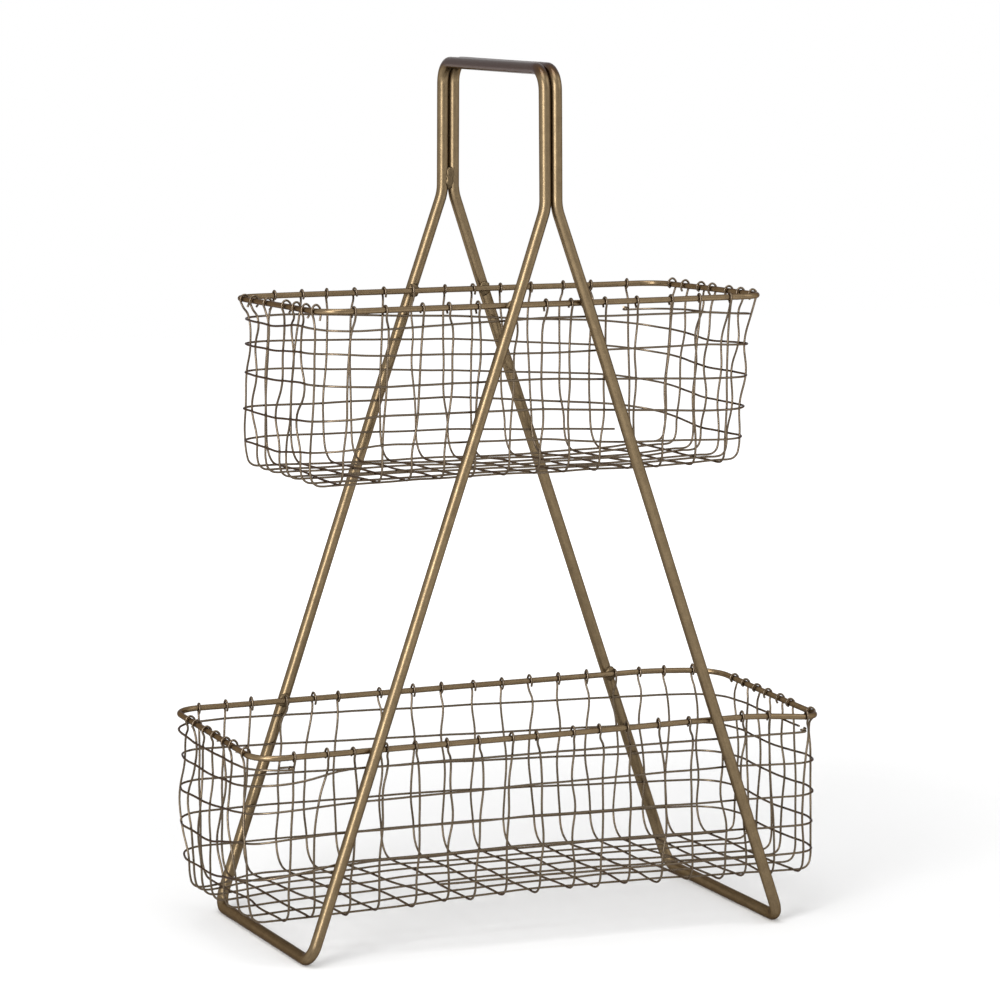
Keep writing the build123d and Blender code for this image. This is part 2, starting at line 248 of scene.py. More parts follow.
# Further places on the way round, as turns, with their depths, where a wire leaves its straight line
UPPER_CORNERS = (
    (1.16, 8.7), (1.2, 7.5), (1.67, 24.5), (2.16, 19.8), (2.2, 20.5), (2.67, 38), (3.16, 35.6),
    (3.2, 35.6), (3.67, 53.5), (4.67, 69), (4.95, 69.5),
)
LOWER_CORNERS = ((0.16, 15.7), (0.2, 19), (0.3, 20.5), (1.16, 29.5), (1.2, 32.5), (2.16, 44), (2.2, 48))
LOWER_TOP_CORNERS = ((0.285, 8.8), (0.315, 6.6))


def between(depths, values, depth):
    """A value read off between the depths where it is known."""
    for low, high, value, following in zip(depths, depths[1:], values, values[1:]):
        if depth <= high:
            return value + (following - value) * max(depth - low, 0) / (high - low)
    return values[-1]


@dataclass
class Basket:
    """What the wires of one basket hang from, in millimetres."""

    tier: str
    # Depths at which the tables of the wires give their places
    crossings: tuple
    # How far the walls stand outside the middle of the rim: at the rim, at those depths and at the floor
    side_out: tuple
    left_out: tuple
    right_out: tuple
    # The radius of the walls' corners there, and of the spiral's
    wall_corner: tuple
    wound_corner: tuple
    # How deep the floor hangs, from the left to the right, along the front and along the back
    front_floor: tuple
    back_floor: tuple

    def __post_init__(self):
        low, high = (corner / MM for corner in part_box(f"{self.tier}_rim"))
        self.height = (low.z + high.z) / 2
        self.bar_radius = (high.z - low.z) / 2
        self.half_length = high.x - self.bar_radius
        self.half_depth = high.y - self.bar_radius
        self.depths = (0, *self.crossings, max(self.front_floor))

    def tilt(self, x, y):
        """How far the rim stands above its mean height."""
        along, across = x / self.half_length, y / self.half_depth
        if self.tier == "upper":
            return UPPER_TILT_BACK * across + UPPER_TILT_CORNER * max(0, along) * max(0, across)
        droop = DROOP_SLOPE * max(0, along - DROOP_START) * (1 - DROOP_SPLIT - DROOP_SPLIT * across)
        corner = max(0, min(along, LOWER_TILT_CORNER)) * max(0, -across)
        return LOWER_TILT_BACK * across + LOWER_TILT_RIGHT * along + corner - droop

    def floor_depth(self, x, y):
        """How deep below the rim the floor hangs at a place."""
        spans = len(self.front_floor) - 1
        places = [self.half_length * (2 * step / spans - 1) for step in range(spans + 1)]
        front = between(places, self.front_floor, x)
        back = between(places, self.back_floor, x)
        return front + (back - front) * (y / self.half_depth + 1) / 2

    def sizes(self, depth, x):
        """Half length, half depth and corner radius of the walls at a depth below the rim."""
        ends = self.left_out if x < 0 else self.right_out
        corner = between(self.depths, self.wall_corner, depth)
        half_length = self.half_length + between(self.depths, ends, depth)
        return half_length, self.half_depth + between(self.depths, self.side_out, depth), corner

    def reach(self, place, depth, side, lengthways):
        """How far out an end, or the front or back wall, is at a place along it."""
        half_length, half_depth, corner = self.sizes(depth, side if lengthways else place)
        if lengthways:
            return rounded_reach(place, half_depth, half_length, corner)
        return rounded_reach(place, half_length, half_depth, corner)

    def rim_lift(self, x, y, depth):
        """What is left of the rim's tilt at a depth."""
        return self.tilt(x, y) * max(0, 1 - max(depth, 0) / TILT_FADE)

    def around(self, turn, depth, clear):
        """Place on the wall at a share of the way round, from the middle of the front by the left end."""
        quarter = int(turn * 4) % 4
        side = -1 if quarter in (0, 1) else 1
        half_length, half_depth, _ = self.sizes(depth, side)
        half_length += clear
        half_depth += clear
        corner = between(self.depths, self.wound_corner, depth)
        straight = half_length - corner
        bend = corner * math.pi / 2
        end = half_depth - corner
        way = (turn * 4) % 1
        if quarter in (1, 3):
            way = 1 - way
        way *= straight + bend + end
        if way < straight:
            x, y = way, half_depth
        elif way < straight + bend:
            angle = (way - straight) / corner
            x, y = straight + corner * math.sin(angle), end + corner * math.cos(angle)
        else:
            x, y = half_length, end - (way - straight - bend)
        point = Vector((side * x, -y if quarter in (0, 3) else y, 0))
        point.z = self.height + self.rim_lift(point.x, point.y, depth) - depth
        return point


UPPER = Basket(
    "upper", crossings=(9, 24, 39, 56, 71),
    side_out=(-0.6, -1.2, -1.9, -2.6, -3.4, -4.2, -4.5),
    left_out=(0.3, 0.2, -0.3, -0.6, -0.4, -1.2, -1.4), right_out=(0.8, 0, -2, -3.1, -5.4, -6.6, -7.1),
    wall_corner=(14, 8, 8, 8, 8, 10, 14), wound_corner=(27, 28, 24.5, 21.5, 18, 17, 17),
    front_floor=(85.3, 84.6, 84.5, 84.5, 84), back_floor=(86.5, 87.5, 88.5, 88, 84.6),
)
LOWER = Basket(
    "lower", crossings=(9, 24, 40, 56, 71),
    side_out=(-0.2, -0.6, -1.2, -1.5, -1.8, -1.9, -2),
    left_out=(0.6, 1, 0.5, 2.4, 2, 0.5, -0.4), right_out=(0.4, 0.9, 1.4, 2, 1.7, 1.6, 1.2),
    wall_corner=(14, 12, 12, 12, 12, 13, 15), wound_corner=(21,) * 7,
    front_floor=(86, 86, 84, 83.3, 83.6, 85.2, 86.3), back_floor=(87.5, 85.5, 85, 85, 85, 85.5, 86),
)


def rounded_reach(place, half_length, half_width, corner):
    """How far a rounded rectangle reaches across at a place along its length."""
    into_corner = abs(place) - (half_length - corner)
    if into_corner <= 0:
        return half_width
    return half_width - corner + math.sqrt(max(corner**2 - into_corner**2, 0))


def filleted(points, radii):
    """A closed route through corners, each rounded to its radius."""
    route = []
    for last, point, following, radius in zip(points[-1:] + points, points, points[1:] + points[:1], radii):
        before = (last - point).normalized()
        after = (following - point).normalized()
        half_angle = before.angle(after) / 2
        reach = radius / math.tan(half_angle)
        middle = point + (before + after).normalized() * (radius / math.sin(half_angle))
        start = point + before * reach - middle
        stop = point + after * reach - middle
        sweep = start.angle(stop)
        for step in range(BEND_STEPS + 1):
            share = step / BEND_STEPS
            arm = start * math.sin((1 - share) * sweep) + stop * math.sin(share * sweep)
            route.append(middle + arm / math.sin(sweep))
    return route


def spaced(route, spacing):
    """The same closed route with more points on its straight runs."""
    points = []
    for point, following in zip(route, route[1:] + route[:1]):
        count = max(1, round((following - point).length / spacing))
        points += [point.lerp(following, step / count) for step in range(count)]
    return points


def new_tree(name, kind, inputs, outputs):
    """A new node group, with the kinds of its sockets by their names."""
    tree = bpy.data.node_groups.new(name, kind)
    for side, sockets in (("INPUT", inputs), ("OUTPUT", outputs)):
        for socket_name, socket_kind in sockets.items():
            tree.interface.new_socket(socket_name, in_out=side, socket_type=f"NodeSocket{socket_kind}")
    return tree


class Nodes:
    """Places nodes in a tree and links them."""

    COLUMNS, WIDTH, DROP = 8, 190, 240

    def __init__(self, tree):
        self.tree = tree
        self.count = 0

    def add(self, kind, values=None, **settings):
        node = self.tree.nodes.new(kind)
        row, column = divmod(self.count, self.COLUMNS)
        node.location = (column * self.WIDTH, -row * self.DROP)
        self.count += 1
        for key, value in settings.items():
            setattr(node, key, value)
        for key, value in (values or {}).items():
            if isinstance(value, bpy.types.NodeSocket):
                self.tree.links.new(value, node.inputs[key])
            else:
                node.inputs[key].default_value = value
        return node

    def out(self, kind, values=None, **settings):
        """The first output of a new node."""
        return self.add(kind, values, **settings).outputs[0]

    def math(self, operation, a, b):
        return self.out("ShaderNodeMath", {0: a, 1: b}, operation=operation)

    def vector(self, operation, a, b):
        return self.out("ShaderNodeVectorMath", {0: a, 1: b}, operation=operation)

    def scaled(self, vector, scale):
        return self.out("ShaderNodeVectorMath", {0: vector, "Scale": scale}, operation="SCALE")

    def blend(self, share, first, second):
        return self.add("ShaderNodeMix", {"Factor": share, 6: first, 7: second}, data_type="RGBA").outputs[2]

    def ramp(self, value, reach, level=(0.0, 1.0), kind="SMOOTHSTEP"):
        """A value that goes through the levels while the given one goes through its reach."""
        values = dict(zip(("From Min", "From Max", "To Min", "To Max"), (*reach, *level)))
        return self.out("ShaderNodeMapRange", {"Value": value, **values}, interpolation_type=kind)


def cleared(owner):
    """Nodes for the emptied tree of a material or world."""
    owner.use_nodes = True
    owner.node_tree.nodes.clear()
    return Nodes(owner.node_tree)


def drawn_bar_tree():
    """Geometry nodes that draw a round bar or wire along curves, a little out of true."""
    tree = bpy.data.node_groups.get("Drawn Bar")
    if tree:
        return tree
    tree = new_tree(
        "Drawn Bar", "GeometryNodeTree",
        {
            "Geometry": "Geometry", "Bar Radius": "Float", "Facets": "Int", "Waver": "Float",
            "Waver Length": "Float", "Seed": "Int", "Finish": "Material",
        },
        {"Geometry": "Geometry"},
    )
    nodes = Nodes(tree)
    given = nodes.add("NodeGroupInput").outputs
    line = nodes.out("GeometryNodeResampleCurve", {"Curve": given["Geometry"]}, mode="EVALUATED")

    # Waver: soft noise on the place moves the line sideways
    place = nodes.out("GeometryNodeInputPosition")
    spread = nodes.math("DIVIDE", 1.0, given["Waver Length"])
    offset = nodes.math("MULTIPLY", given["Seed"], SEED_STRIDE)
    noise_place = nodes.vector("ADD", nodes.scaled(place, spread), offset)
    waver = nodes.add("ShaderNodeTexNoise", {"Vector": noise_place, "Scale": 1.0, "Detail": 1.5})
    centred = nodes.vector("SUBTRACT", waver.outputs["Color"], (0.5, 0.5, 0.5))
    push = nodes.scaled(centred, nodes.math("MULTIPLY", given["Waver"], 2))
    line = nodes.out("GeometryNodeSetPosition", {"Geometry": line, "Offset": push})

    # The way along the bar and the place on its round are kept for the finish, as if the bar lay straight
    def stored(geometry, name, value, kind):
        values = {"Geometry": geometry, "Name": name, "Value": value}
        return nodes.out("GeometryNodeStoreNamedAttribute", values, data_type=kind)

    def read(name, kind):
        return nodes.out("GeometryNodeInputNamedAttribute", {"Name": name}, data_type=kind)

    way = nodes.add("GeometryNodeSplineParameter").outputs["Length"]
    line = stored(line, "way", way, "FLOAT")
    ring = nodes.out("GeometryNodeCurvePrimitiveCircle", {"Resolution": given["Facets"]})
    profile = stored(ring, "round", place, "FLOAT_VECTOR")
    thickness = nodes.math("MULTIPLY", nodes.out("GeometryNodeInputRadius"), given["Bar Radius"])
    values = {"Curve": line, "Profile Curve": profile, "Scale": thickness, "Fill Caps": True}
    body = nodes.out("GeometryNodeCurveToMesh", values)
    along = nodes.out("ShaderNodeCombineXYZ", {"Z": read("way", "FLOAT")})
    across = nodes.scaled(read("round", "FLOAT_VECTOR"), given["Bar Radius"])
    body = stored(body, "drawn", nodes.vector("ADD", across, along), "FLOAT_VECTOR")
    for name in ("way", "round"):
        body = nodes.out("GeometryNodeRemoveAttribute", {"Geometry": body, "Name": name})
    body = nodes.out("GeometryNodeRealizeInstances", {"Geometry": body})
    body = nodes.out("GeometryNodeSetMaterial", {"Geometry": body, "Material": given["Finish"]})
    nodes.add("NodeGroupOutput", {"Geometry": body})
    return tree


def draw(name, strands, radius, facets, finish, waver, waver_length, seed, closed=False, steps=6):
    """A mesh piece drawn along strands, each a list of points in millimetres."""
    curve = bpy.data.curves.new(name, "CURVE")
    curve.dimensions = "3D"
    for strand in strands:
        spline = curve.splines.new("BEZIER")
        spline.bezier_points.add(len(strand) - 1)
        spline.use_cyclic_u = closed
        spline.resolution_u = steps
        for knot, point in zip(spline.bezier_points, strand):
            knot.co = point * MM
            knot.handle_left_type = knot.handle_right_type = "AUTO"
    route = bpy.data.objects.new(name + "_route", curve)
    bpy.context.scene.collection.objects.link(route)
    tree = drawn_bar_tree()
    modifier = route.modifiers.new("Drawn Bar", "NODES")
    modifier.node_group = tree
    given = {
        "Bar Radius": radius, "Facets": facets, "Waver": waver * MM, "Waver Length": waver_length * MM,
        "Seed": seed, "Finish": finish,
    }
    for socket in tree.interface.items_tree:
        if socket.in_out == "INPUT" and socket.name in given:
            modifier[socket.identifier] = given[socket.name]
    drawn = route.evaluated_get(bpy.context.evaluated_depsgraph_get())
    mesh = bpy.data.meshes.new_from_object(drawn)
    route.modifiers.remove(modifier)
    bpy.data.objects.remove(route)
    bpy.data.curves.remove(curve)
    if not mesh.polygons:
        raise RuntimeError(f"{name} came out empty")
    # The round is smooth and the cut ends are flat
    for face in mesh.polygons:
        face.use_smooth = len(face.vertices) == 4
    mesh.name = name
    return place_piece(name, mesh)


def place_piece(name, data):
    piece = bpy.data.objects.new(name, data)
    bpy.context.scene.collection.objects.link(piece)
    return piece


def dress(piece, slot, *nodes):
    """Puts a piece in place of the frame's plain nodes."""
    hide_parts(*nodes)
    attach(piece, "root")


def metal_mottle_group():
    """Node group of the antique finish: rubbed brass over a brown ground, speckled and streaked."""
    group = bpy.data.node_groups.get("Antique Mottle")
    if group:
        return group
    group = new_tree(
        "Antique Mottle", "ShaderNodeTree",
        {
            "Rubbed": "Color", "Ground": "Color", "Patch Size": "Float", "Speckle Size": "Float",
            "Roughness Low": "Float", "Roughness High": "Float",
        },
        {"Color": "Color", "Roughness": "Float", "Height": "Float"},
    )
    nodes = Nodes(group)
    given = nodes.add("NodeGroupInput").outputs
    place = nodes.add("ShaderNodeTexCoord").outputs["Object"]
    drawn = nodes.add("ShaderNodeAttribute", attribute_name="drawn").outputs["Vector"]

    def noise_at(where, size, detail, roughness):
        values = {"Vector": where, "Scale": nodes.math("DIVIDE", 1.0, size), "Detail": detail}
        return nodes.out("ShaderNodeTexNoise", {**values, "Roughness": roughness})

    patches = noise_at(place, given["Patch Size"], 3.0, 0.6)
    speckle = noise_at(place, given["Speckle Size"], 2.0, 0.7)
    stretched = nodes.out("ShaderNodeMapping", {"Vector": drawn, "Scale": (1.0, 1.0, STREAK_STRETCH)})
    streaks = noise_at(stretched, given["Speckle Size"], 3.0, 0.6)
    mixed = nodes.math("MULTIPLY", patches, PATCH_SHARE)
    for pattern, share in ((speckle, SPECKLE_SHARE), (streaks, STREAK_SHARE)):
        mixed = nodes.math("ADD", mixed, nodes.math("MULTIPLY", pattern, share))
    mask = nodes.ramp(mixed, MOTTLE_RANGE, kind="LINEAR")
    colour = nodes.blend(mask, given["Ground"], given["Rubbed"])
    rough = nodes.ramp(mixed, MOTTLE_RANGE, (given["Roughness High"], given["Roughness Low"]), "LINEAR")
    speckle_bump = nodes.math("MULTIPLY", speckle, BUMP_SPECKLE_SHARE)
    height = nodes.math("ADD", speckle_bump, nodes.math("MULTIPLY", streaks, BUMP_STREAK_SHARE))
    nodes.add("NodeGroupOutput", {"Color": colour, "Roughness": rough, "Height": height})
    return group


def finish_of(kind):
    """The finish of one kind of metal, made when first asked for, with painted shade darkening the top of the
    handle.
    """
    name = kind.replace("_", " ").title() + " Finish"
    found = bpy.data.materials.get(name)
    if found:
        return found
    look = bpy.context.scene.wire_basket_finish
    patch, speckle, bump, shade, dull = TONES[kind]
    rubbed, ground = (
        (*(channel * part for channel, part in zip(tone, shade)), 1)
        for tone in (look.rubbed_tone, look.ground_tone)
    )
    material = bpy.data.materials.new(name)
    nodes = cleared(material)
    values = {
        "Rubbed": rubbed, "Ground": ground, "Patch Size": patch * MM, "Speckle Size": speckle * MM,
        "Roughness Low": look.roughness_low * dull, "Roughness High": look.roughness_high * dull,
    }
    mottle = nodes.add("ShaderNodeGroup", values, node_tree=metal_mottle_group()).outputs
    place = nodes.add("ShaderNodeTexCoord").outputs["Object"]
    height = nodes.add("ShaderNodeSeparateXYZ", {"Vector": place}).outputs["Z"]
    # Painted shade: above these heights the handle's colour turns to the dark handle tone, and a clear coat
    # is laid on
    handle_shade = nodes.ramp(height, [edge * MM for edge in HANDLE_SHADE_HEIGHTS])
    colour = nodes.blend(handle_shade, mottle["Color"], (*look.grip_tone, 1))
    polish = nodes.math("MULTIPLY", handle_shade, HANDLE_TOP_COAT)
    relief = {"Height": mottle["Height"], "Strength": bump, "Distance": GRAIN_DEPTH}
    values = {
        "Base Color": colour, "Roughness": mottle["Roughness"], "Normal": nodes.out("ShaderNodeBump", relief),
        "Metallic": look.metallic, "Specular Tint": (*look.edge_tone, 1), "Coat Weight": polish,
        "Coat Roughness": COAT_ROUGHNESS,
    }
    nodes.add("ShaderNodeOutputMaterial", {"Surface": nodes.out("ShaderNodeBsdfPrincipled", values)})
    return material


class WireBasketSizes(bpy.types.PropertyGroup):
    """Sizes of the bars and wires that a user may change."""

    bar_radius: bpy.props.FloatProperty(
        name="Frame Bar Radius", description="Radius of the hoops' bar",
        default=(HOOP_HIGH.z - HANDLE_LINE) * MM, min=0.001, max=0.01, unit="LENGTH",
    )
    rim_radius: bpy.props.FloatProperty(
        name="Rim Bar Radius", description="Radius of the rims' bar",
        default=UPPER.bar_radius * MM, min=0.0005, max=0.005, unit="LENGTH",
    )
    wire_radius: bpy.props.FloatProperty(
        name="Wire Radius", description="Radius of the wires",
        default=WIRE_WIDTH / 2 * MM, min=0.0002, max=0.002, unit="LENGTH",
    )
    waver: bpy.props.FloatProperty(
        name="Wire Waver", description="How far a wire wanders, in millimetres",
        default=0.35, min=0, max=3,
    )
    floor_sway: bpy.props.FloatProperty(
        name="Floor Sway", description="How far a floor wire sways, in millimetres",
        default=1.6, min=0, max=5,
    )


class WireBasketFinish(bpy.types.PropertyGroup):
    """Tones of the antique finish."""

    rubbed_tone: bpy.props.FloatVectorProperty(
        name="Rubbed Tone", description="Colour where it is rubbed to brass", subtype="COLOR",
        default=(0.225, 0.165, 0.094), min=0, max=1,
    )
    ground_tone: bpy.props.FloatVectorProperty(
        name="Ground Tone", description="Colour of the brown ground", subtype="COLOR",
        default=(0.125, 0.09, 0.052), min=0, max=1,
    )
    edge_tone: bpy.props.FloatVectorProperty(
        name="Edge Tone", description="Tint of the metal at a low angle", subtype="COLOR",
        default=(0.34, 0.32, 0.34), min=0, max=1,
    )
    # Painted shade on the top of the handle, not a colour of the metal
    grip_tone: bpy.props.FloatVectorProperty(
        name="Handle Shade Tone", description="Painted shade on the top of the handle", subtype="COLOR",
        default=(0.058, 0.028, 0.007), min=0, max=1,
    )
    roughness_low: bpy.props.FloatProperty(
        name="Rubbed Roughness", description="Roughness where the finish is rubbed", default=0.28,
        min=0, max=1, subtype="FACTOR",
    )
    roughness_high: bpy.props.FloatProperty(
        name="Ground Roughness", description="Roughness of the ground", default=0.42,
        min=0, max=1, subtype="FACTOR",
    )
    metallic: bpy.props.FloatProperty(
        name="Metallic", description="How much of the look is bare metal", default=1.0,
        min=0, max=1, subtype="FACTOR",
    )


class WireBasketStage(bpy.types.PropertyGroup):
    """Light and ground of the stage."""

    key_power: bpy.props.FloatProperty(
        name="Key Light", description="Power of the light at the left", default=54.0,
        min=0, unit="POWER",
    )
    top_power: bpy.props.FloatProperty(
        name="Top Light", description="Power of the light overhead", default=22.0,
        min=0, unit="POWER",
    )
    fill_power: bpy.props.FloatProperty(
        name="Fill Light", description="Power of the light at the right", default=9.0,
        min=0, unit="POWER",
    )
    ground_size: bpy.props.FloatProperty(
        name="Ground Size", description="Width of the pale ground", default=6.0, min=1, unit="LENGTH",
    )


class WIREBASKET_OT_hoops(bpy.types.Operator):
    """Make the two frame hoops of round bar"""

    bl_idname = "wire_basket.hoops"
    bl_label = "Frame Hoops"

    def execute(self, context):
        sizes = context.scene.wire_basket_sizes
        radius = sizes.bar_radius / MM
        for side, name in ((-1, "left_hoop"), (1, "right_hoop")):
            low, high = (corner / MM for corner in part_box(name))
            outer = max(abs(low.x), abs(high.x)) - radius
            inner = min(abs(low.x), abs(high.x)) + radius
            depth = high.y - radius
            top = high.z - radius
            rim_share = (UPPER.height - radius) / (LEGS_PART - radius)
            rim_place = outer + (inner - outer) * rim_share
            handle_depth = depth - HANDLE_TAPER
            front_foot = outer - max(side, 0) * FOOT_IN
            parting = depth - HANDLE_TAPER / 2
            # The left or right half of the frame, from the front of the handle down, back and up again
            corners = (
                (inner, -handle_depth, top + FRONT_HANDLE_RISE, HANDLE_BEND),
                (inner, -parting, LEGS_PART, PARTING_BEND), (rim_place, -depth, UPPER.height, LEG_BEND),
                (front_foot, -depth, radius, FOOT_BEND), (outer, depth, radius, FOOT_BEND),
                (rim_place, depth, UPPER.height, LEG_BEND), (inner, parting, LEGS_PART, PARTING_BEND),
                (inner, handle_depth, top - BACK_HANDLE_DROP, HANDLE_BEND),
            )
            places = [Vector((side * x, y, z)) for x, y, z, _ in corners]
            route = spaced(filleted(places, [bend for _, _, _, bend in corners]), HOOP_SPACING)
            piece = draw(
                name.replace("hoop", "frame_bar"), [route], sizes.bar_radius, FRAME_FACETS,
                finish_of("frame_bar"), HOOP_WAVER, HOOP_WAVER_LENGTH, HOOP_SEED + side, closed=True, steps=2,
            )
            dress(piece, "frame_bar", name)
        return {"FINISHED"}


class WIREBASKET_OT_rims(bpy.types.Operator):
    """Make the round bar at the mouth of each basket"""

    bl_idname = "wire_basket.rims"
    bl_label = "Basket Rims"

    def execute(self, context):
        sizes = context.scene.wire_basket_sizes
        for basket in (UPPER, LOWER):
            corners = [
                Vector((right * basket.half_length, back * basket.half_depth, 0))
                for right, back in ((-1, -1), (1, -1), (1, 1), (-1, 1))
            ]
            route = spaced(filleted(corners, [RIM_CORNER] * 4), RIM_SPACING)
            for point in route:
                point.z = basket.height + basket.tilt(point.x, point.y)
            piece = draw(
                f"{basket.tier}_rim_bar", [route], sizes.rim_radius, RIM_FACETS, finish_of("rim_bar"),
                *RIM_WAVER, closed=True, steps=2,
            )
            dress(piece, "rim_bar", f"{basket.tier}_rim")
        return {"FINISHED"}


def hook_shape(chance, short, top, longer):
    """A hook from its tail to the wall: steps outwards and upwards from the rim's middle, and to the side."""
    if short:
        return SHORT_HOOK
    lean = chance.uniform(-HOOK_LEAN, HOOK_LEAN)
    tail = -chance.uniform(*HOOK_TAILS) - longer
    curl = chance.uniform(0, HOOK_CURL)
    shoulder = top * HOOK_SHOULDER
    return [
        (-1.9 + curl, tail, lean * 1.5), (-2.3 + curl * 0.3, tail * 0.5, lean * 1.2), (-2.3, 0.2, lean),
        (-1.6, shoulder, lean * 0.6), (0, top, lean * 0.2), (1.6, shoulder, 0), (2.25, 0.1, 0),
        (1.3, -3.4, 0),
    ]


def hook_top(basket, lengthways, side, place, chance):
    """How high a hook's line rises over the rim's middle."""
    across = place / basket.half_depth
    if not lengthways:
        return chance.uniform(*CROSS_HOOK_TOPS[basket.tier])
    if basket.tier == "upper":
        if side > 0:
            return END_HOOK_TOP + RIGHT_SLOPE * across
        spread = chance.uniform(-LEFT_SPREAD, LEFT_SPREAD)
        return END_HOOK_TOP + LEFT_SLOPE * across + spread
    if side < 0 and across < LOOSE_HOOKS_TO:
        return LOOSE_HOOK_TOP
    return TIGHT_HOOK_TOP + chance.uniform(0, TIGHT_SPREAD)


def bent_to_floor(foot, inward, floor, radius):
    """Points of the bend from a wall to the floor, and a little way along the floor."""
    points = []
    for angle in BEND_ANGLES:
        turn = math.radians(angle)
        reach = inward * (radius * (1 - math.cos(turn)))
        points.append(Vector((foot.x, foot.y, floor + radius * (1 - math.sin(turn)))) + reach)
    points.append(Vector((foot.x, foot.y, floor)) + inward * (radius + FLOOR_RUN))
    return points


def basket_wires(basket, rows, lengthways, chance, sway):
    """Strands of all the wires of a basket that run one way."""
    strands = []
    rim = (basket.half_length, basket.half_depth)
    if lengthways:
        rim = rim[::-1]

    def long_lift(point):
        if basket.tier == "upper":
            return between(*UPPER_LIFT, point.x)
        front, back = between(*LOWER_FRONT_LIFT, point.x), between(*LOWER_BACK_LIFT, point.x)
        return between(LIFT_BLEND, (front, back), point.y)

    def wall_place(place, depth, side, out=None):
        if out is None:
            reach = basket.reach(place, depth, side, lengthways)
        else:
            reach = rounded_reach(place, *rim, RIM_CORNER) + out
        x, y = (side * reach, place) if lengthways else (place, side * reach)
        return Vector((x, y, basket.height + basket.rim_lift(x, y, depth) - depth))

    def floor_height(point):
        lift = long_lift(point) if lengthways else 0
        return basket.height - basket.floor_depth(point.x, point.y) + lift

    for number, row in enumerate(rows):
        halves = []
        for side, places in zip((-1, 1), row):
            short = not lengthways and abs(abs(places[0]) - LEG_PLACES[basket.tier]) < LEG_ROOM
            top = hook_top(basket, lengthways, side, places[0], chance)
            hook = hook_shape(chance, short, top, LEFT_HOOK_TAIL if lengthways and side < 0 else 0)
            wall = [wall_place(places[0] + lean, -up, side, out) for out, up, lean in hook]
            crossings = zip(basket.crossings, places[1:])
            wall += [wall_place(place, depth, side) for depth, place in crossings]
            foot = wall_place(places[-1], basket.depths[-1], side)
            if lengthways:
                inward, radius, dip = Vector((-side, 0, 0)), END_BEND, 0
            else:
                inward, radius = Vector((0, -side, 0)), FRONT_BEND if side < 0 else BACK_BEND
                dip = DIP if basket.tier == "lower" and side < 0 and number % 2 == 0 else 0
            halves.append(wall + bent_to_floor(foot, inward, floor_height(foot) - dip, radius + dip))
        start, stop = halves[0][-1], halves[1][-1]
        across = Vector((0, 1, 0)) if lengthways else Vector((1, 0, 0))
        count = max(3, round((stop - start).length / FLOOR_SPACING))
        middle = []
        for step in range(1, count):
            point = start.lerp(stop, step / count) + across * chance.uniform(-sway, sway)
            point.z = floor_height(point) + chance.uniform(-FLOOR_RIPPLE, FLOOR_RIPPLE)
            middle.append(point)
        strands.append(halves[0] + middle + halves[1][::-1])
    return strands


def weave(basket, name, strands, kind, count, waver_share, waver_length, seed):
    """One piece of a basket's wires, in place of their numbered nodes."""
    sizes = bpy.context.scene.wire_basket_sizes
    piece = draw(
        f"{basket.tier}_{name}", strands, sizes.wire_radius, WIRE_FACETS, finish_of("basket_wire"),
        sizes.waver * waver_share, waver_length, seed,
    )
    digits = len(str(count))
    names = [f"{basket.tier}_{kind}_wire_{number + 1:0{digits}d}" for number in range(count)]
    dress(piece, "basket_wire", *names)


def make_wires(kind, tables, seed):
    """Make the cross or long wires of both baskets."""
    sway = bpy.context.scene.wire_basket_sizes.floor_sway
    for basket, rows in zip((UPPER, LOWER), tables):
        chance = random.Random(f"{basket.tier} {kind}")
        strands = basket_wires(basket, rows, kind == "long", chance, sway)
        weave(basket, f"{kind}_wires", strands, kind, len(rows), 1, WOVEN_WAVER_LENGTH, seed)


class WIREBASKET_OT_cross_wires(bpy.types.Operator):
    """Make the wires that hook over the front and back of each rim"""

    bl_idname = "wire_basket.cross_wires"
    bl_label = "Cross Wires"

    def execute(self, context):
        make_wires("cross", (UPPER_CROSS, LOWER_CROSS), CROSS_SEED)
        return {"FINISHED"}


class WIREBASKET_OT_long_wires(bpy.types.Operator):
    """Make the wires that hook over the two ends of each rim"""

    bl_idname = "wire_basket.long_wires"
    bl_label = "Long Wires"

    def execute(self, context):
        make_wires("long", (UPPER_LONG, LOWER_LONG), LONG_SEED)
        return {"FINISHED"}


def wrapped(place, outward, travel, turns, climb):
    """Points of a wire's end wrapped round a wire of the wall, from its place outside it."""
    middle = place - outward * WRAP_RADIUS
    steps = round(abs(turns) * WRAP_STEPS)
    points = []
    for step in range(1, steps + 1):
        turn = turns * step / steps
        angle = turn * 2 * math.pi
        arm = outward * math.cos(angle) + travel * math.sin(angle)
        points.append(middle + arm * WRAP_RADIUS + Vector((0, 0, climb * abs(turn))))
    return points


def spiral_strand(basket, table, corners, clear, start, stop):
    """Points of a wire wound round the walls, its first and last place moved by start and stop eighths."""
    # The second place of a row is the middle of the front, where a turn starts
    first = 7 - len(table[0])
    depths = [depth for row in table for depth in row]
    knots = sorted([*corners, *(((first + number) / 8, depth) for number, depth in enumerate(depths))])
    knots[0] = (knots[0][0] + start / 8, knots[0][1])
    knots[-1] = (knots[-1][0] + stop / 8, knots[-1][1])
    points = []
    for (here, depth), (there, next_depth) in zip(knots, knots[1:]):
        steps = max(1, round((there - here) * SPIRAL_STEPS))
        for step in range(steps):
            share = step / steps
            points.append((here + (there - here) * share, depth + (next_depth - depth) * share))
    points.append(knots[-1])
    return [basket.around(turn % 1, depth, clear) for turn, depth in points]


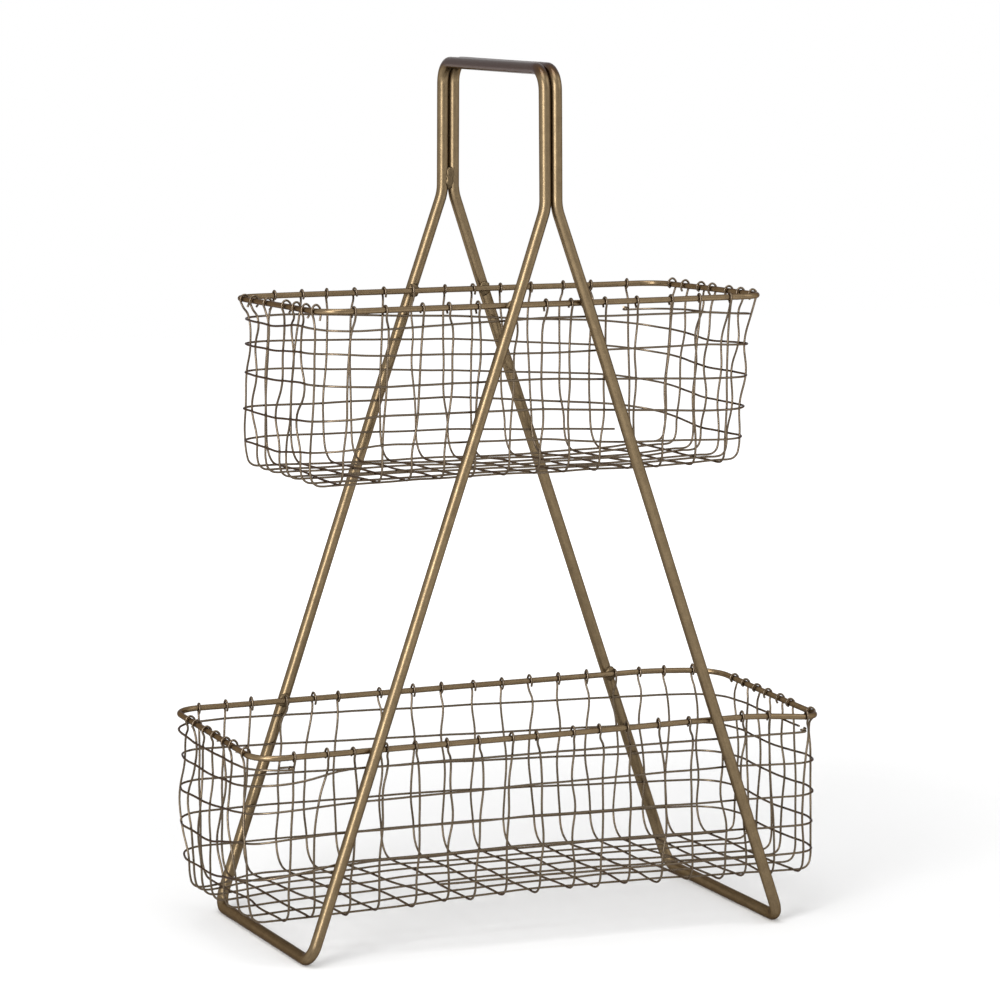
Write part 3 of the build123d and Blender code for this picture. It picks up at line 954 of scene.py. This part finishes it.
class WIREBASKET_OT_spiral_wires(bpy.types.Operator):
    """Make the wires that are wound round the walls of each basket"""

    bl_idname = "wire_basket.spiral_wires"
    bl_label = "Spiral Wires"

    def execute(self, context):
        clear = context.scene.wire_basket_sizes.wire_radius / MM * SPIRAL_CLEAR
        front, back, left, right = (Vector(way) for way in ((0, -1, 0), (0, 1, 0), (-1, 0, 0), (1, 0, 0)))
        upper = spiral_strand(UPPER, UPPER_SPIRAL, UPPER_CORNERS, clear, start=0.15, stop=0.1)
        upper = wrapped(upper[0], back, right, turns=-1.2, climb=1.3)[::-1] + upper
        lower = spiral_strand(LOWER, LOWER_SPIRAL, LOWER_CORNERS, clear, start=-0.36, stop=0.55)
        lower = wrapped(lower[0], front, left, turns=-1.4, climb=1.3)[::-1] + lower
        top = spiral_strand(LOWER, LOWER_TOP_WIRE, LOWER_TOP_CORNERS, clear, start=0.28, stop=0.3)
        knot = wrapped(top[0], front, left, turns=-1.75, climb=0.7)[::-1]
        top = [knot[0] + left * reach for reach in KNOT_TAIL] + knot + top
        for basket, strands in ((UPPER, [upper]), (LOWER, [lower, top])):
            weave(basket, "spiral_wire", strands, "ring", RING_COUNT, *SPIRAL_WAVER)
        return {"FINISHED"}


class WIREBASKET_OT_welds(bpy.types.Operator):
    """Make the weld beads that join the rims to the legs and the two hoops to each other"""

    bl_idname = "wire_basket.welds"
    bl_label = "Weld Beads"

    def execute(self, context):
        whole = bmesh.new()
        places = []
        for basket in (UPPER, LOWER):
            for facing in (-1, 1):
                for side in (-1, 1):
                    x = side * LEG_PLACES[basket.tier]
                    y = facing * (basket.half_depth + RIM_WELD_OUT)
                    places.append((Vector((x, y, basket.height + basket.tilt(x, y))), RIM_WELDS[facing]))
        for facing in (-1, 1):
            for x, height, reach in HANDLE_WELDS:
                places.append((Vector((x, facing * HANDLE_GROOVE, height)), reach))
        for number, (place, reach) in enumerate(places):
            made = bmesh.ops.create_icosphere(whole, subdivisions=3, radius=1.0)
            for vertex in made["verts"]:
                bump = noise.noise(vertex.co * WELD_LUMP_SCALE + Vector((number * WELD_STRIDE, 0, 0)))
                lump = 1 + WELD_LUMPS * bump
                stretched = Vector([part * size * lump for part, size in zip(vertex.co, reach)])
                vertex.co = (place + stretched) * MM
        mesh = bpy.data.meshes.new("weld_beads")
        whole.to_mesh(mesh)
        whole.free()
        for face in mesh.polygons:
            face.use_smooth = True
        mesh.materials.append(finish_of("weld"))
        piece = place_piece("brazed_weld_beads", mesh)
        dress(piece, "frame_bar", "weld_beads")
        return {"FINISHED"}


def seen_rays(nodes):
    """One for the rays that see the backdrop, and zero for the rest."""
    light_path = nodes.add("ShaderNodeLightPath").outputs
    seen = nodes.math("MAXIMUM", light_path["Is Camera Ray"], light_path["Is Glossy Ray"])
    return nodes.math("MAXIMUM", seen, light_path["Is Transmission Ray"])


class WIREBASKET_OT_stage(bpy.types.Operator):
    """Set the pale ground, the soft lights and the camera"""

    bl_idname = "wire_basket.stage"
    bl_label = "Stage"

    def execute(self, context):
        scene = context.scene
        stage = scene.wire_basket_stage
        scene.view_settings.view_transform = "Standard"

        # The ground pales to the white of the backdrop at its rim
        ground = bpy.data.meshes.new("pale_ground")
        half = stage.ground_size / 2
        corners = [(-half, -half, 0), (half, -half, 0), (half, half, 0), (-half, half, 0)]
        ground.from_pydata(corners, [], [(0, 1, 2, 3)])
        paint = bpy.data.materials.new("Pale Ground")
        nodes = cleared(paint)
        place = nodes.add("ShaderNodeTexCoord").outputs["Object"]
        reach = nodes.add("ShaderNodeVectorMath", {0: place}, operation="LENGTH").outputs["Value"]
        away = nodes.ramp(reach, (PAINT_FADE_START, half * PAINT_FADE_STOP))
        paint_tone = nodes.blend(away, GROUND_PAINT, (0, 0, 0, 1))
        glow = nodes.ramp(reach, GLOW_REACH, GLOW_LEVEL)
        strength = nodes.math("MULTIPLY", seen_rays(nodes), glow)
        matt = nodes.out("ShaderNodeBsdfDiffuse", {"Color": paint_tone})
        light = nodes.out("ShaderNodeEmission", {"Color": (1, 1, 1, 1), "Strength": strength})
        surface = nodes.out("ShaderNodeAddShader", {0: matt, 1: light})
        nodes.add("ShaderNodeOutputMaterial", {"Surface": surface})
        ground.materials.append(paint)
        floor = place_piece("pale_ground", ground)

        world = bpy.data.worlds.new("Pale Studio")
        scene.world = world
        nodes = cleared(world)
        extra = nodes.math("MULTIPLY", seen_rays(nodes), SEEN_WORLD_EXTRA)
        strength = nodes.math("ADD", extra, WORLD_LEVEL)
        backdrop = nodes.out("ShaderNodeBackground", {"Color": (1, 1, 1, 1), "Strength": strength})
        nodes.add("ShaderNodeOutputWorld", {"Surface": backdrop})

        for name, power, size, place, target in LAMPS:
            lamp = bpy.data.lights.new(name, "AREA")
            lamp.shape = "RECTANGLE"
            lamp.size, lamp.size_y = size
            lamp.energy = getattr(stage, power)
            holder = place_piece(name, lamp)
            holder.location = place
            holder.rotation_euler = (Vector(target) - Vector(place)).to_track_quat("-Z", "Y").to_euler()

        camera = bpy.data.cameras.new("photo_camera")
        camera.lens = CAMERA_LENS
        camera.clip_end = CAMERA_REACH
        holder = place_piece("photo_camera", camera)
        holder.location = CAMERA_PLACE
        holder.rotation_euler = [math.radians(turn) for turn in CAMERA_TURNS]
        scene.camera = holder
        return {"FINISHED"}


PIECES = (
    WIREBASKET_OT_stage, WIREBASKET_OT_hoops, WIREBASKET_OT_rims, WIREBASKET_OT_cross_wires,
    WIREBASKET_OT_long_wires, WIREBASKET_OT_spiral_wires, WIREBASKET_OT_welds,
)


GROUPS = {
    "wire_basket_sizes": WireBasketSizes,
    "wire_basket_finish": WireBasketFinish,
    "wire_basket_stage": WireBasketStage,
}


class VIEW3D_PT_wire_basket(bpy.types.Panel):
    """Lists the pieces and the sizes that may be changed"""

    bl_label = "Wire Basket"
    bl_space_type = "VIEW_3D"
    bl_region_type = "UI"
    bl_category = "Wire Basket"

    def draw(self, context):
        for name in GROUPS:
            group = getattr(context.scene, name)
            box = self.layout.box()
            box.label(text=name.split("_")[-1].title())
            for key in group.bl_rna.properties.keys():
                if key not in ("rna_type", "name"):
                    box.prop(group, key)
        for piece in PIECES:
            self.layout.operator(piece.bl_idname)


CLASSES = (*GROUPS.values(), *PIECES, VIEW3D_PT_wire_basket)


def register():
    for cls in CLASSES:
        bpy.utils.register_class(cls)
    for name, group in GROUPS.items():
        setattr(bpy.types.Scene, name, bpy.props.PointerProperty(type=group))


def unregister():
    for name in GROUPS:
        delattr(bpy.types.Scene, name)
    for cls in reversed(CLASSES):
        bpy.utils.unregister_class(cls)


def main():
    register()
    for piece in PIECES:
        group, action = piece.bl_idname.split(".")
        getattr(getattr(bpy.ops, group), action)()


if __name__ == "__main__":
    main()
